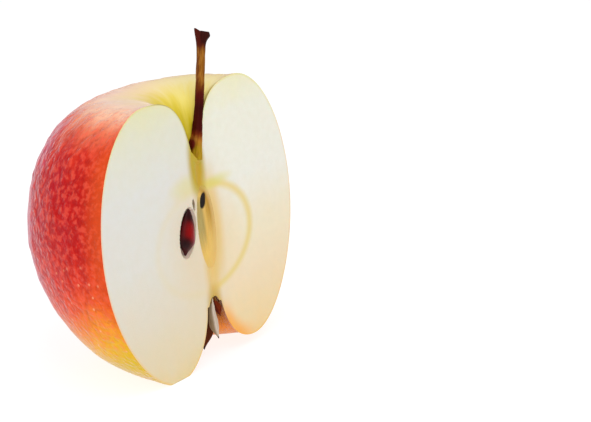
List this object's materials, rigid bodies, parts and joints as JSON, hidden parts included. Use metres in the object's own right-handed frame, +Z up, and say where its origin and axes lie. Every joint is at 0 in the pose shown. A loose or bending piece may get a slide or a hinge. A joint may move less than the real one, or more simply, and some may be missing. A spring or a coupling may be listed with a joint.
{
  "type": "half apple",
  "caption": "Half an apple cut lengthwise through its core, with stem, seeds and dried calyx, standing upright.",
  "frame": {"origin": "centre of the footprint of the half apple's bounding box, on the surface it rests on", "axes": "+Z up, the cut face looks along -Y, +X to the right of someone who looks at the cut face"},
  "size_m": [0.075, 0.0446, 0.0793],
  "materials": {
    "fruit": "waxy red skin outside, moist cream flesh on the cut face",
    "stem_bark": "dry brown bark",
    "seed_coat": "glossy dark seed coat",
    "dry_sepal": "matt dried leaf"
  },
  "bodies": {
    "root": {"fruit_half": "fruit", "stem": "stem_bark", "seed_front": "seed_coat", "seed_back": "seed_coat", "sepal_middle": "dry_sepal", "sepal_right": "dry_sepal", "sepal_back": "dry_sepal", "stamen_1": "dry_sepal", "stamen_2": "dry_sepal", "stamen_3": "dry_sepal", "stamen_4": "dry_sepal", "stamen_5": "dry_sepal"}
  },
  "joints": []
}
